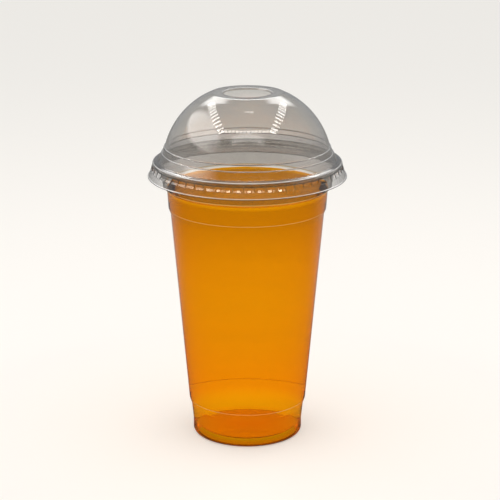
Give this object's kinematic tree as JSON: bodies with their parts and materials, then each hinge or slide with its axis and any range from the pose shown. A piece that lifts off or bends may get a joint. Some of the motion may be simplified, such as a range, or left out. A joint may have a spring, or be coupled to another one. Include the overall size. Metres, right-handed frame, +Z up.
{
  "type": "plastic cup with domed lid",
  "caption": "Clear tapered cold-drink cup with rolled rim and recessed base, filled with an orange drink under a clear press-on domed lid with a straw hole.",
  "frame": {"origin": "centre of the standing ring, on the surface the cup stands on", "axes": "+Z up along the cup's and lid's common axis; +X and +Y across it, -Y towards the picture's camera"},
  "size_m": [0.104, 0.104, 0.1853],
  "materials": {
    "cup_plastic": "clear thin thermoformed plastic, glossy",
    "orange_drink": "slightly cloudy orange liquid",
    "lid_plastic": "clear thin thermoformed plastic, glossy, with a slight grey cast"
  },
  "bodies": {
    "cup": {"cup": "cup_plastic", "drink": "orange_drink"},
    "lid": {"dome_lid": "lid_plastic"}
  },
  "joints": [
    {"name": "lid_lift", "type": "slide", "parent": "cup", "child": "lid", "axis": [0, 0, 1], "range_m": [0, 0.05]}
  ]
}
